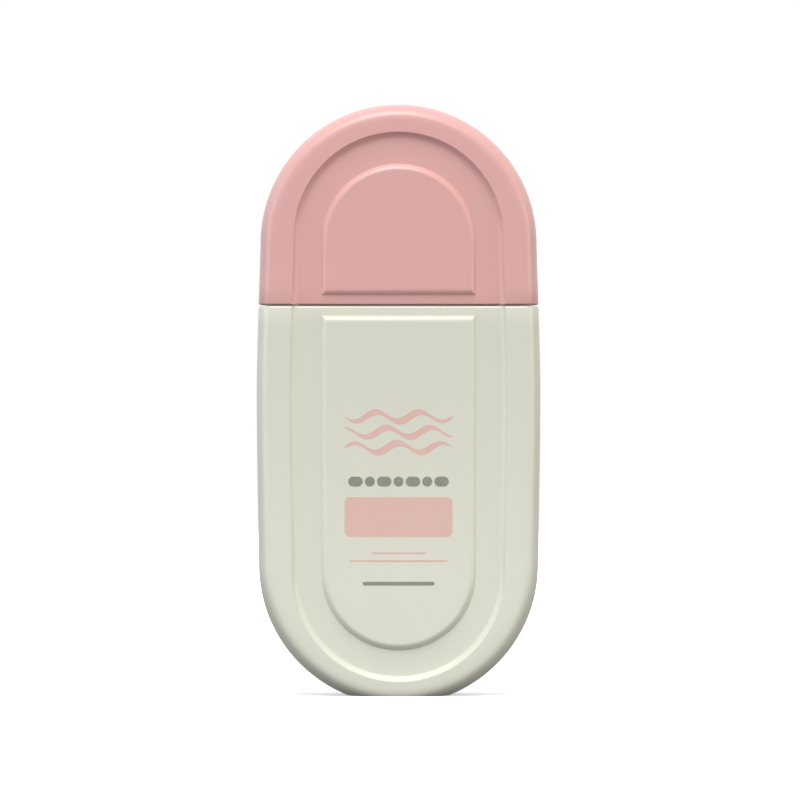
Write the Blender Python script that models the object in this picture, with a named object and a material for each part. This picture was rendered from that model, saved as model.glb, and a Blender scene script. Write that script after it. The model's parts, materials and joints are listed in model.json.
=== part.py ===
"""Flat sunscreen bottle with round ends, a screwed spout closure and a pull-off dome cap.

The bottle stands on its foot at the origin. Z is up, and the front faces -Y.
Every fit below is worked out from the driving dimensions and a named clearance.
"""

import math

import bmesh
import bpy

MM = 0.001

# Outline seen from the front
BOTTLE_HEIGHT = 93.3 * MM
CAP_HEIGHT = 48.0 * MM
SEAM_GAP = 0.4 * MM
BELLY_HALF_WIDTH = 34.1 * MM
SHOULDER_DRAW_IN = 0.95 * MM
HEEL_DRAW_IN = 0.55 * MM
BELLY_LEVEL = 72.0 * MM
FOOT_CUT = 2.35 * MM

# Section seen from above
DEPTH = 26.5 * MM
EDGE_RUN = 4.0 * MM
EDGE_FULLNESS = 2.5
RIM_FLAT = 4.05 * MM
STEP_RUN = 1.5 * MM
STEP_DROP = 1.3 * MM
CHANNEL_WIDTH = 5.15 * MM
BEVEL_RUN = 1.5 * MM
PANEL_RISE = 1.1 * MM

# How far the arcs of the channel and of the panel are centred off those of the outline
CHANNEL_TOP_RISE = 1.3 * MM
CHANNEL_FOOT_DROP = 2.3 * MM
PANEL_TOP_RISE = 0.3 * MM
PANEL_FOOT_DROP = 1.8 * MM
BOTTLE_PANEL_MARGIN = 1.85 * MM
CAP_PANEL_MARGIN = 1.9 * MM

# Walls, edges and clearances
BOTTLE_WALL = 1.2 * MM
CAP_WALL = 1.4 * MM
FLOOR_THICKNESS = 2.2 * MM
BOTTLE_LIP = 0.5 * MM
CAP_LIP = 0.3 * MM
FIT_GAP = 0.3 * MM
OVERRUN = 1.0 * MM
WELD = 0.001 * MM

# Foot
FOOT_RECESS_RADIUS = 7.0 * MM
FOOT_RECESS_DEPTH = 0.8 * MM

# Shoulder and neck
GUIDE_HEIGHT = 3.4 * MM
NECK_HEIGHT = 11.0 * MM
NECK_WALL = 1.75 * MM
NECK_FILLET = 0.7 * MM
NECK_CHAMFER = 0.3 * MM

# Screw thread between the neck and the collar
THREAD_PITCH = 3.2 * MM
THREAD_DEPTH = 0.75 * MM
THREAD_ROOT_WIDTH = 1.3 * MM
THREAD_CREST_WIDTH = 0.6 * MM
THREAD_EMBED = 0.25 * MM
THREAD_TOP_MARGIN = 2.2 * MM
NECK_THREAD_TURNS = 1.5
COLLAR_THREAD_TURNS = 1.25
THREAD_FADE_SHARE = 0.12
THREAD_END_SHARE = 0.2

# Collar, gasket and spout
COLLAR_WALL = 1.2 * MM
COLLAR_TOP = 1.3 * MM
COLLAR_FOOT_GAP = 0.6 * MM
COLLAR_CHAMFER = 0.4 * MM
RIB_COUNT = 24
RIB_DEPTH = 0.3 * MM
RIB_SHARE = 0.5
RIB_FLANK_SHARE = 0.15
GASKET_THICKNESS = 1.0 * MM
FLANGE_THICKNESS = 1.2 * MM
PLUG_WALL = 1.0 * MM
PLUG_LENGTH = 6.0 * MM
PLUG_CHAMFER = 0.5 * MM
SPOUT_LENGTH = 10.5 * MM
SPOUT_STEM = 2.0 * MM
SPOUT_TIP_WALL = 0.9 * MM
SPOUT_TIP_ROUND = 0.4 * MM
ORIFICE_RADIUS = 1.2 * MM
ORIFICE_LENGTH = 4.0 * MM

# Liner and stopper inside the cap
CUP_WALL = 0.9 * MM
CUP_FOOT_GAP = 2.3 * MM
CUP_TOP = 1.0 * MM
PLATE_LIFT = 9.8 * MM
PLATE_THICKNESS = 1.2 * MM
PLATE_RIM_HEIGHT = 4.0 * MM
PLATE_RIM_WALL = 1.0 * MM
FIN_THICKNESS = 1.0 * MM
FIN_HEIGHT = 11.0 * MM
FIN_MARGIN = 1.5 * MM
STOPPER_RADIUS = 3.2 * MM
STOPPER_THICKNESS = 1.2 * MM
STOPPER_RING_WALL = 0.9 * MM
PIN_LENGTH = 2.5 * MM

# Mesh fineness
EDGE_STEPS = 5
EASE_STEPS = 3
STRAIGHT_STEPS = 4
ARC_STEPS = 12
INNER_ARC_STEPS = 9
LIP_STEPS = 2
ROUND_STEPS = 3
TURNED_STEPS = 40
THREAD_STEPS = 24
SHARP_ANGLE = math.radians(35)

# Levels and sizes that follow from the ones above
HALF_DEPTH = DEPTH / 2
CAP_EDGE = BOTTLE_HEIGHT + SEAM_GAP
HEIGHT = CAP_EDGE + CAP_HEIGHT
SHOULDER_HALF_WIDTH = BELLY_HALF_WIDTH - SHOULDER_DRAW_IN
HEEL_HALF_WIDTH = BELLY_HALF_WIDTH - HEEL_DRAW_IN
TOP_CENTRE = HEIGHT - SHOULDER_HALF_WIDTH
FOOT_CENTRE = HEEL_HALF_WIDTH - FOOT_CUT
CHANNEL_INSET = EDGE_RUN + RIM_FLAT
PANEL_EDGE = SHOULDER_HALF_WIDTH - CHANNEL_INSET - STEP_RUN - CHANNEL_WIDTH
CHANNEL_FLOOR = HALF_DEPTH - STEP_DROP

SHOULDER_LEVEL = BOTTLE_HEIGHT + GUIDE_HEIGHT
LAND_LEVEL = SHOULDER_LEVEL + NECK_HEIGHT
THREAD_LOW = LAND_LEVEL - THREAD_TOP_MARGIN - THREAD_PITCH * NECK_THREAD_TURNS
GASKET_LEVEL = LAND_LEVEL + FIT_GAP
FLANGE_LEVEL = GASKET_LEVEL + GASKET_THICKNESS + FIT_GAP
COLLAR_CEILING = FLANGE_LEVEL + FLANGE_THICKNESS + FIT_GAP
COLLAR_HEAD = COLLAR_CEILING + COLLAR_TOP
SPOUT_TIP = FLANGE_LEVEL + FLANGE_THICKNESS + SPOUT_LENGTH
STOPPER_LEVEL = SPOUT_TIP + FIT_GAP
CUP_CEILING = STOPPER_LEVEL + STOPPER_THICKNESS + FIT_GAP

CUP_OUTER = CHANNEL_FLOOR - CAP_WALL - 2 * FIT_GAP
CUP_INNER = CUP_OUTER - CUP_WALL
COLLAR_OUTER = CUP_INNER - FIT_GAP
COLLAR_INNER = COLLAR_OUTER - COLLAR_WALL
NECK_RADIUS = COLLAR_INNER - THREAD_DEPTH - FIT_GAP
BORE_RADIUS = NECK_RADIUS - NECK_WALL
PLUG_RADIUS = BORE_RADIUS - FIT_GAP
PLUG_BORE = PLUG_RADIUS - PLUG_WALL


def clear_scene():
    for item in list(bpy.data.objects):
        bpy.data.objects.remove(item, do_unlink=True)


def ease(share):
    """A soft step from 0 to 1."""
    return share * share * (3 - 2 * share)


def lerp(start, end, share):
    return start + (end - start) * share


def plastic(name, colour, roughness):
    material = bpy.data.materials.new(name)
    material.use_nodes = True
    shader = material.node_tree.nodes["Principled BSDF"]
    shader.inputs["Base Color"].default_value = (*colour, 1.0)
    shader.inputs["Roughness"].default_value = roughness
    shader.inputs["Metallic"].default_value = 0.0
    material.diffuse_color = (*colour, 1.0)
    return material


def finish(bm, name, material=None):
    """Turn the work mesh into an object; without a material it is a cutter or a blank."""
    bmesh.ops.recalc_face_normals(bm, faces=bm.faces)
    mesh = bpy.data.meshes.new(name)
    bm.to_mesh(mesh)
    bm.free()
    piece = bpy.data.objects.new(name, mesh)
    bpy.context.scene.collection.objects.link(piece)
    mesh.shade_smooth()
    mesh.set_sharp_from_angle(angle=SHARP_ANGLE)
    if material is None:
        piece.hide_render = True
        piece.display_type = "WIRE"
    else:
        mesh.materials.append(material)
    return piece


def combine(piece, other, operation):
    boolean = piece.modifiers.new(other.name, "BOOLEAN")
    boolean.operation = operation
    boolean.solver = "EXACT"
    boolean.object = other


def skin(bm, rows):
    """Join closed rows of equal length with faces, one row to the next."""
    for lower, upper in zip(rows, rows[1:]):
        count = len(lower)
        for index in range(count):
            after = (index + 1) % count
            bm.faces.new((lower[index], lower[after], upper[after], upper[index]))


def cut_flat(bm, level, keep):
    """Cut the work mesh flat at a level, and keep what lies above (1) or below (-1)."""
    whole = bm.verts[:] + bm.edges[:] + bm.faces[:]
    cut = bmesh.ops.bisect_plane(
        bm, geom=whole, plane_co=(0, 0, level), plane_no=(0, 0, -keep), clear_outer=True
    )
    rim = [item for item in cut["geom_cut"] if isinstance(item, bmesh.types.BMEdge)]
    bmesh.ops.holes_fill(bm, edges=rim)


def loft(name, rows, material=None, foot_level=None, head_level=None):
    """Close a stack of rows into a solid, and cut it flat at foot_level and head_level."""
    bm = bmesh.new()
    rings = [[bm.verts.new(point) for point in row] for row in rows]
    skin(bm, rings)
    bm.faces.new(rings[0])
    bm.faces.new(reversed(rings[-1]))
    bmesh.ops.remove_doubles(bm, verts=bm.verts, dist=WELD)
    bmesh.ops.dissolve_degenerate(bm, edges=bm.edges, dist=WELD)
    if foot_level is not None:
        cut_flat(bm, foot_level, 1)
    if head_level is not None:
        cut_flat(bm, head_level, -1)
    return finish(bm, name, material)


def turned(name, profile, material=None, steps=TURNED_STEPS):
    """Spin a profile of (radius, height) points about the bottle's axis."""
    bm = bmesh.new()
    points = [bm.verts.new((radius, 0, height)) for radius, height in profile]
    edges = [bm.edges.new(pair) for pair in zip(points, points[1:])]
    if profile[0][0] > 0:
        edges.append(bm.edges.new((points[-1], points[0])))
    bmesh.ops.spin(
        bm, geom=points + edges, cent=(0, 0, 0), axis=(0, 0, 1), angle=math.tau, steps=steps, use_merge=True
    )
    bmesh.ops.remove_doubles(bm, verts=bm.verts, dist=WELD)
    return finish(bm, name, material)


def corner(radius, height, size, turn_in, turn_out):
    """Points of a rounded corner between two directions of a profile."""
    points = []
    for step in range(ROUND_STEPS + 1):
        angle = math.pi / 2 * step / ROUND_STEPS
        into, out = 1 - math.sin(angle), 1 - math.cos(angle)
        points.append((
            radius - size * (turn_in[0] * into - turn_out[0] * out),
            height - size * (turn_in[1] * into - turn_out[1] * out),
        ))
    return points


def half_width_at(level):
    """Half the outline's width, full at the belly and drawn in towards both arcs."""
    if level > BELLY_LEVEL:
        share = (level - BELLY_LEVEL) / (TOP_CENTRE - BELLY_LEVEL)
        end = SHOULDER_HALF_WIDTH
    else:
        share = (BELLY_LEVEL - level) / (BELLY_LEVEL - FOOT_CENTRE)
        end = HEEL_HALF_WIDTH
    return lerp(BELLY_HALF_WIDTH, end, share ** 2 * (2 - share))


def quarter_section(half_width, inset, panel_share):
    """Columns (family, x, depth) from the middle of the side to the middle of the front."""
    columns = []
    power = 2 / EDGE_FULLNESS
    for step in range(EDGE_STEPS + 1):
        angle = math.pi / 2 * step / EDGE_STEPS
        across, forward = math.cos(angle), math.sin(angle)
        x = half_width - EDGE_RUN + (EDGE_RUN - inset) * across ** power
        depth = (HALF_DEPTH - inset) * forward ** power
        columns.append(("outline", x, depth))
    for step in range(EASE_STEPS + 1):
        share = step / EASE_STEPS
        x = half_width - CHANNEL_INSET - STEP_RUN * share
        columns.append(("channel", x, HALF_DEPTH - inset - STEP_DROP * ease(share)))
    for step in range(EASE_STEPS + 1):
        share = step / EASE_STEPS
        rise = PANEL_RISE * min(ease(share), panel_share)
        columns.append(("panel", PANEL_EDGE - BEVEL_RUN * share, CHANNEL_FLOOR - inset + rise))
    columns.append(("panel", 0, CHANNEL_FLOOR - inset + PANEL_RISE * panel_share))
    return columns


def section_row(columns, centres, angle=0.0, direction=1):
    """A closed row of points: the quarter section mirrored to all four quarters."""
    lean, rise = math.cos(angle), direction * math.sin(angle)
    quarter = [(x * lean, depth, centres[family] + x * rise) for family, x, depth in columns]
    front_right = [(x, -y, z) for x, y, z in quarter]
    front_left = [(-x, -y, z) for x, y, z in reversed(quarter[:-1])]
    back_left = [(-x, y, z) for x, y, z in quarter[1:]]
    back_right = [(x, y, z) for x, y, z in reversed(quarter[1:-1])]
    return front_right + front_left + back_left + back_right


def level_row(level, inset, panel_share=0.0):
    columns = quarter_section(half_width_at(level), inset, panel_share)
    return section_row(columns, dict.fromkeys(("outline", "channel", "panel"), level))


def lip_rows(edge, direction, radius):
    """Rows that round the outer edge of an open end."""
    rows = []
    for step in range(LIP_STEPS):
        angle = math.pi / 2 * step / LIP_STEPS
        level = edge + direction * radius * (1 - math.cos(angle))
        rows.append(level_row(level, radius * (1 - math.sin(angle))))
    return rows


def end_rows(start, direction, inset, arc_steps, with_panel, margin=0.0):
    """Rows from a level near the seam to the tip of the round end."""
    rows = [level_row(start, inset)]
    if with_panel:
        rows.append(level_row(start + direction * margin, inset))
        for step in range(1, EASE_STEPS + 1):
            share = step / EASE_STEPS
            level = start + direction * (margin + BEVEL_RUN * share)
            rows.append(level_row(level, inset, ease(share)))
        start = start + direction * (margin + BEVEL_RUN)
    panel_share = 1.0 if with_panel else 0.0
    if direction > 0:
        radius = SHOULDER_HALF_WIDTH
        outline, channel_rise, panel_rise = TOP_CENTRE, CHANNEL_TOP_RISE, PANEL_TOP_RISE
    else:
        radius = HEEL_HALF_WIDTH
        outline, channel_rise, panel_rise = FOOT_CENTRE, -CHANNEL_FOOT_DROP, -PANEL_FOOT_DROP
    centres = {"outline": outline, "channel": outline + channel_rise, "panel": outline + panel_rise}
    for step in range(1, STRAIGHT_STEPS):
        share = step / STRAIGHT_STEPS
        columns = quarter_section(half_width_at(lerp(start, outline, share)), inset, panel_share)
        rows.append(section_row(columns, {key: lerp(start, end, share) for key, end in centres.items()}))
    columns = quarter_section(radius, inset, panel_share)
    for step in range(arc_steps + 1):
        angle = math.pi / 2 * step / arc_steps
        rows.append(section_row(columns, centres, angle, direction))
    return rows


def helix_ridge(name, root, crest, turns, low):
    """A tapered ridge of one screw thread that climbs from the level low at +X."""
    bm = bmesh.new()
    rings = []
    steps = round(turns * THREAD_STEPS)
    for step in range(steps + 1):
        share = step / steps
        angle = math.tau * turns * share
        level = low + THREAD_PITCH * turns * share
        fade = min(1.0, share / THREAD_FADE_SHARE, (1 - share) / THREAD_FADE_SHARE)
        tip = lerp(root, crest, max(fade, THREAD_END_SHARE))
        outline = [
            (root, -THREAD_ROOT_WIDTH / 2),
            (tip, -THREAD_CREST_WIDTH / 2),
            (tip, THREAD_CREST_WIDTH / 2),
            (root, THREAD_ROOT_WIDTH / 2),
        ]
        rings.append([
            bm.verts.new((radius * math.cos(angle), radius * math.sin(angle), level + offset))
            for radius, offset in outline
        ])
    skin(bm, rings)
    bm.faces.new(rings[0])
    bm.faces.new(reversed(rings[-1]))
    return finish(bm, name)


def make_bottle(material):
    outer = end_rows(BOTTLE_HEIGHT - BOTTLE_LIP, -1, 0, ARC_STEPS, True, BOTTLE_PANEL_MARGIN - BOTTLE_LIP)
    guide_inset = CAP_WALL + FIT_GAP
    guide = [
        level_row(SHOULDER_LEVEL, guide_inset + BOTTLE_LIP),
        level_row(SHOULDER_LEVEL - BOTTLE_LIP, guide_inset),
        level_row(BOTTLE_HEIGHT, guide_inset),
    ]
    rows = guide + lip_rows(BOTTLE_HEIGHT, -1, BOTTLE_LIP) + outer
    bottle = loft("bottle_shell", rows, material, foot_level=0)

    neck = turned("neck_blank", [
        (0, SHOULDER_LEVEL - BOTTLE_WALL / 2),
        (NECK_RADIUS + NECK_FILLET, SHOULDER_LEVEL - BOTTLE_WALL / 2),
        *corner(NECK_RADIUS, SHOULDER_LEVEL, NECK_FILLET, (-1, 0), (0, 1)),
        (NECK_RADIUS, LAND_LEVEL - NECK_CHAMFER),
        (NECK_RADIUS - NECK_CHAMFER, LAND_LEVEL),
        (0, LAND_LEVEL),
    ])
    combine(bottle, neck, "UNION")
    ridge = helix_ridge(
        "neck_thread", NECK_RADIUS - THREAD_EMBED, NECK_RADIUS + THREAD_DEPTH,
        NECK_THREAD_TURNS, THREAD_LOW,
    )
    combine(bottle, ridge, "UNION")

    inner_shoulder = SHOULDER_LEVEL - BOTTLE_WALL
    ledge_under = BOTTLE_HEIGHT - BOTTLE_WALL
    inside = [
        level_row(inner_shoulder, guide_inset + BOTTLE_WALL),
        level_row(ledge_under, guide_inset + BOTTLE_WALL),
    ]
    margin = BOTTLE_PANEL_MARGIN - BOTTLE_WALL
    inside += end_rows(ledge_under - guide_inset / 2, -1, BOTTLE_WALL, INNER_ARC_STEPS, True, margin)
    cavity = loft("bottle_cavity", inside, foot_level=FLOOR_THICKNESS)
    combine(bottle, cavity, "DIFFERENCE")
    bore = turned("neck_bore", [
        (0, inner_shoulder - OVERRUN),
        (BORE_RADIUS, inner_shoulder - OVERRUN),
        (BORE_RADIUS, LAND_LEVEL + OVERRUN),
        (0, LAND_LEVEL + OVERRUN),
    ])
    combine(bottle, bore, "DIFFERENCE")
    recess = turned("foot_recess", [
        (0, -OVERRUN),
        (FOOT_RECESS_RADIUS, -OVERRUN),
        (FOOT_RECESS_RADIUS, 0),
        (FOOT_RECESS_RADIUS - FOOT_RECESS_DEPTH, FOOT_RECESS_DEPTH),
        (0, FOOT_RECESS_DEPTH),
    ])
    combine(bottle, recess, "DIFFERENCE")
    return bottle


def make_cap_shell(material):
    outer = lip_rows(CAP_EDGE, 1, CAP_LIP)
    outer += end_rows(CAP_EDGE + CAP_LIP, 1, 0, ARC_STEPS, True, CAP_PANEL_MARGIN - CAP_LIP)
    shell = loft("cap_shell", outer, material)
    inside = end_rows(CAP_EDGE - OVERRUN, 1, CAP_WALL, INNER_ARC_STEPS, False)
    cavity = loft("cap_cavity", inside)
    combine(shell, cavity, "DIFFERENCE")
    return shell


def make_cap_liner(material):
    plate_level = CAP_EDGE + PLATE_LIFT
    plate_head = plate_level + PLATE_THICKNESS
    rim_head = plate_head + PLATE_RIM_HEIGHT
    inset = CAP_WALL + FIT_GAP
    plate = end_rows(CAP_EDGE - OVERRUN, 1, inset, INNER_ARC_STEPS, False)
    liner = loft("cap_liner", plate, material, plate_level, rim_head)
    hollow = end_rows(CAP_EDGE - OVERRUN, 1, inset + PLATE_RIM_WALL, INNER_ARC_STEPS, False)
    pocket = loft("liner_pocket", hollow, foot_level=plate_head)
    combine(liner, pocket, "DIFFERENCE")
    cup_foot = SHOULDER_LEVEL + CUP_FOOT_GAP
    cup = turned("liner_cup", [
        (0, cup_foot),
        (CUP_OUTER, cup_foot),
        (CUP_OUTER, CUP_CEILING + CUP_TOP),
        (0, CUP_CEILING + CUP_TOP),
    ])
    combine(liner, cup, "UNION")
    for name, side in (("liner_fin_right", 1), ("liner_fin_left", -1)):
        combine(liner, make_fin(name, side, plate_head), "UNION")
    ring = STOPPER_RADIUS + FIT_GAP
    bore = turned("liner_bore", [
        (0, cup_foot - OVERRUN),
        (CUP_INNER, cup_foot - OVERRUN),
        (CUP_INNER, CUP_CEILING),
        (ring + STOPPER_RING_WALL, CUP_CEILING),
        (ring + STOPPER_RING_WALL, STOPPER_LEVEL),
        (ring, STOPPER_LEVEL),
        (ring, CUP_CEILING),
        (0, CUP_CEILING),
    ])
    combine(liner, bore, "DIFFERENCE")
    return liner


def make_fin(name, side, plate_head):
    """A web from the cup's wall out to the foot of the plate's rim."""
    near = side * (CUP_OUTER - CUP_WALL / 2)
    far = side * (SHOULDER_HALF_WIDTH - CHANNEL_INSET - FIN_MARGIN)
    low = plate_head - PLATE_THICKNESS / 2
    outline = [(near, low), (far, low), (far, plate_head + FIN_THICKNESS), (near, plate_head + FIN_HEIGHT)]
    rows = [[(x, y, z) for x, z in outline] for y in (-FIN_THICKNESS / 2, FIN_THICKNESS / 2)]
    return loft(name, rows)


def make_stopper(material):
    pin = ORIFICE_RADIUS - FIT_GAP
    foot = STOPPER_LEVEL - PIN_LENGTH
    return turned("spout_stopper", [
        (0, foot),
        (pin / 2, foot),
        (pin, foot + pin / 2),
        (pin, STOPPER_LEVEL),
        (STOPPER_RADIUS, STOPPER_LEVEL),
        (STOPPER_RADIUS, STOPPER_LEVEL + STOPPER_THICKNESS),
        (0, STOPPER_LEVEL + STOPPER_THICKNESS),
    ], material, TURNED_STEPS // 2)


def ribbed_row(radius, level):
    """A closed row round the collar, with a shallow valley between ribs."""
    points = []
    for rib in range(RIB_COUNT):
        for share, low in (
            (0, 0), (RIB_SHARE, 0),
            (RIB_SHARE + RIB_FLANK_SHARE, 1), (1 - RIB_FLANK_SHARE, 1),
        ):
            angle = math.tau * (rib + share) / RIB_COUNT
            reach = radius - RIB_DEPTH * low
            points.append((reach * math.cos(angle), reach * math.sin(angle), level))
    return points


def make_collar(material):
    foot = SHOULDER_LEVEL + COLLAR_FOOT_GAP
    collar = loft("nozzle_collar", [
        ribbed_row(COLLAR_OUTER, foot),
        ribbed_row(COLLAR_OUTER, COLLAR_HEAD - COLLAR_CHAMFER),
        ribbed_row(COLLAR_OUTER - COLLAR_CHAMFER, COLLAR_HEAD),
    ], material)
    hole = PLUG_RADIUS + FIT_GAP
    bore = turned("collar_bore", [
        (0, foot - OVERRUN),
        (COLLAR_INNER, foot - OVERRUN),
        (COLLAR_INNER, COLLAR_CEILING),
        (hole, COLLAR_CEILING),
        (hole, COLLAR_HEAD + OVERRUN),
        (0, COLLAR_HEAD + OVERRUN),
    ])
    combine(collar, bore, "DIFFERENCE")
    ridge_drop = (THREAD_ROOT_WIDTH + THREAD_CREST_WIDTH) / 2 + FIT_GAP
    ridge = helix_ridge(
        "collar_thread", COLLAR_INNER + THREAD_EMBED, COLLAR_INNER - THREAD_DEPTH,
        COLLAR_THREAD_TURNS, THREAD_LOW - ridge_drop,
    )
    combine(collar, ridge, "UNION")
    return collar


def make_gasket(material):
    head = GASKET_LEVEL + GASKET_THICKNESS
    return turned("neck_gasket", [
        (BORE_RADIUS, GASKET_LEVEL),
        (NECK_RADIUS, GASKET_LEVEL),
        (NECK_RADIUS, head),
        (BORE_RADIUS, head),
    ], material)


def make_spout(material):
    flange_head = FLANGE_LEVEL + FLANGE_THICKNESS
    flange = COLLAR_INNER - FIT_GAP
    tip = ORIFICE_RADIUS + SPOUT_TIP_WALL
    foot = FLANGE_LEVEL - PLUG_LENGTH
    return turned("nozzle_spout", [
        (PLUG_BORE, foot),
        (PLUG_RADIUS - PLUG_CHAMFER, foot),
        (PLUG_RADIUS, foot + PLUG_CHAMFER),
        (PLUG_RADIUS, FLANGE_LEVEL),
        (flange, FLANGE_LEVEL),
        (flange, flange_head),
        (PLUG_RADIUS, flange_head),
        (PLUG_RADIUS, flange_head + SPOUT_STEM),
        (tip, SPOUT_TIP - SPOUT_TIP_ROUND),
        (tip - SPOUT_TIP_ROUND, SPOUT_TIP),
        (ORIFICE_RADIUS, SPOUT_TIP),
        (ORIFICE_RADIUS, SPOUT_TIP - ORIFICE_LENGTH),
        (PLUG_BORE, flange_head),
    ], material)


def main():
    clear_scene()
    ivory = plastic("ivory_bottle", (0.69, 0.69, 0.585), 0.42)
    pink = plastic("pink_cap", (0.725, 0.396, 0.374), 0.36)
    white = plastic("white_insert", (0.80, 0.80, 0.78), 0.45)
    soft_white = plastic("soft_spout", (0.78, 0.78, 0.74), 0.50)
    grey = plastic("foam_gasket", (0.55, 0.55, 0.55), 0.80)
    clear_soft = plastic("soft_stopper", (0.74, 0.74, 0.72), 0.55)
    make_bottle(ivory)
    closure = bpy.data.objects.new("closure_axis", None)
    cap = bpy.data.objects.new("cap_axis", None)
    for empty in (closure, cap):
        bpy.context.scene.collection.objects.link(empty)
    for piece in (make_gasket(grey), make_collar(white), make_spout(soft_white)):
        piece.parent = closure
    for piece in (make_cap_shell(pink), make_cap_liner(white), make_stopper(clear_soft)):
        piece.parent = cap


main()
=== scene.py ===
"""Dresses a flat sunscreen bottle: a moulded ivory bottle under a matching dusty pink cap.

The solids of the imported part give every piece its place. All sizes are in metres.
"""

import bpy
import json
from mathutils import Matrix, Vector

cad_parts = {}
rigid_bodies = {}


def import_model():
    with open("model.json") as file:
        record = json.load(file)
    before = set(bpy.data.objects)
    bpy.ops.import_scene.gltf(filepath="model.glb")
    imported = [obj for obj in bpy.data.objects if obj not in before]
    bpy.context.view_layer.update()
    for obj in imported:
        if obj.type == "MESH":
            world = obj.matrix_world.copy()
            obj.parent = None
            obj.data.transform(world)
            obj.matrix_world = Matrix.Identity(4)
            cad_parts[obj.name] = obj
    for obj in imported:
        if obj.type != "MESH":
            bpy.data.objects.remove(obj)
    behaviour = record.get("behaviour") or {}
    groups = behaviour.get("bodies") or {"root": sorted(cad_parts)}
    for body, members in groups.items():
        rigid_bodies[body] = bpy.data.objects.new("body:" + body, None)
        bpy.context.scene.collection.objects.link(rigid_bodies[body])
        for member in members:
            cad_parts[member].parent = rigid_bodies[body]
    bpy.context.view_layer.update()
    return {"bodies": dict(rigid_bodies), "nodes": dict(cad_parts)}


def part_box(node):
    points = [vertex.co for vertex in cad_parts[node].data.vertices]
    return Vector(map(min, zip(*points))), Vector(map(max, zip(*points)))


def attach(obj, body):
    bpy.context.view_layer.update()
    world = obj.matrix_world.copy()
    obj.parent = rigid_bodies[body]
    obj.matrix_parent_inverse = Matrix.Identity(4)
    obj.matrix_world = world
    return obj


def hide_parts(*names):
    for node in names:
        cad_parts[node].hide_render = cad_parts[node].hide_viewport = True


bl_info = {
    "name": "Sunscreen bottle",
    "version": (1, 0, 0),
    "blender": (4, 5, 0),
    "location": "3D View > Sidebar > Bottle",
    "description": "Models the bottle, its closure, its cap and its print, and sets up the studio",
    "category": "Object",
}

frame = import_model()

import json
import math

import bmesh
import bpy
from bpy.props import FloatProperty, FloatVectorProperty, IntProperty, PointerProperty
from mathutils import Vector

MM = 0.001
WELD = 0.001 * MM

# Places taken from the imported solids
BOTTLE_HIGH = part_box("bottle_shell")[1]
CAP_LOW, CAP_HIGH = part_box("cap_shell")
COLLAR_LOW, COLLAR_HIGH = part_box("nozzle_collar")
SPOUT_LOW, SPOUT_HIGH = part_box("nozzle_spout")
GASKET_LOW, GASKET_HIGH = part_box("neck_gasket")
LINER_LOW, LINER_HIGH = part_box("cap_liner")
STOPPER_LOW, STOPPER_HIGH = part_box("spout_stopper")
HALF_DEPTH = CAP_HIGH.y
CAP_EDGE = CAP_LOW.z
HEIGHT = CAP_HIGH.z
LAND_LEVEL = BOTTLE_HIGH.z

# The side is rounded as a superellipse of this power, a little fuller than in the solid
EDGE_FULLNESS = 3.2
# The outline is widest at this level
BELLY_LEVEL = 72.0 * MM
SHARP_ANGLE = math.radians(40)

# Rows of points up the sides, how many support strips they keep clear of a panel, and steps round a lip
BOTTLE_ROWS = 24
CAP_ROWS = 6
CLEAR_STRIPS = 4
LIP_STEPS = 3

# Threads, ribs and gasket
NECK_TURNS = 1.5
COLLAR_TURNS = 1.25
THREAD_FADE_SHARE = 0.12
THREAD_END_SHARE = 0.2
CREST_REACH = 1.1
RIB_SHARES = (0, 0, 0, 0, 0.5, 1, 1, 0.5)
GASKET_EDGE_SHARE = 0.125

# Print: how far a stroke reaches through the panel's face, in its own thickness, and its shapes
INK_SINK_SHARE = 1.4
WAVE_STEPS = 56
WAVE_SWINGS = 2.5
WAVE_TIP_SHARE = 0.12
WAVE_SWELL_SHARE = 0.35
WAVE_PHASE = math.pi / 2
LONG_MARK_SHARE = 1.45
UPPER_RULE_SHARE = 0.55
PILL_TIP_SHARE = 0.06

# Satin plastics: roughness by material, the grain of each pattern and the depth of its relief
ROUGHNESS = {
    "ivory_plastic": 0.37,
    "pink_plastic": 0.40,
    "white_plastic": 0.45,
    "spout_plastic": 0.50,
    "stopper_rubber": 0.55,
}
SATIN_SPECULAR = 0.8
FLOW_GRAIN = 26 * MM
FLOW_STRETCH = (1, 1, 0.35)
SWEEP_GRAIN = 11 * MM
SPARK_GRAIN = 0.35 * MM
SPARK_RELIEF = 0.006 * MM
WALL_RELIEF = 0.03 * MM
FLOW_SHARE = 0.75
SATIN_TINTS = (0.965, 1.035)
SPARK_ROUGHNESS = 0.08
SWEEP_ROUGHNESS = 0.06

# Foam and ink: a roughness is the plain value and how much the pattern adds
FOAM_CELL = 0.45 * MM
FOAM_GRAIN = 0.2 * MM
FOAM_RELIEF = 0.05 * MM
FOAM_CELL_SHARE = 0.7
FOAM_TINTS = (0.8, 1.1)
FOAM_ROUGHNESS = (0.8, 0.1)

MOTTLE_GRAIN = 2.4 * MM
PINHOLE_GRAIN = 0.22 * MM
PINHOLE_STOPS = ((0.22, 0.0), (0.34, 1.0))
INK_RELIEF = 0.004 * MM
INK_ROUGHNESS = (0.42, 0.10)
PINK_COVER = 0.93
GREY_COVER = 0.9

# Studio
FLOOR_GAP = 0.05 * MM
FLOOR_SEEN_TONE = 0.85
FLOOR_ROUGHNESS = 0.9
FLOOR_SHINE = 0.3
CLIP_START = 10 * MM

MESH_LISTS = {"VERT": "verts", "EDGE": "edges", "FACE": "faces"}


def run_out(share):
    """A step from 0 to 1 that starts steep and runs out softly."""
    return 1 - (1 - share) ** 2


def lerp(start, end, share):
    return start + (end - start) * share


def shares(count):
    """Evenly spaced shares from 0 to 1."""
    return [step / count for step in range(count + 1)]


def size(name, text, default):
    return FloatProperty(name=name, description=text, default=default, unit="LENGTH", precision=5)


def colour(name, text, default):
    return FloatVectorProperty(name=name, description=text, default=default, subtype="COLOR", min=0, max=1)


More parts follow.
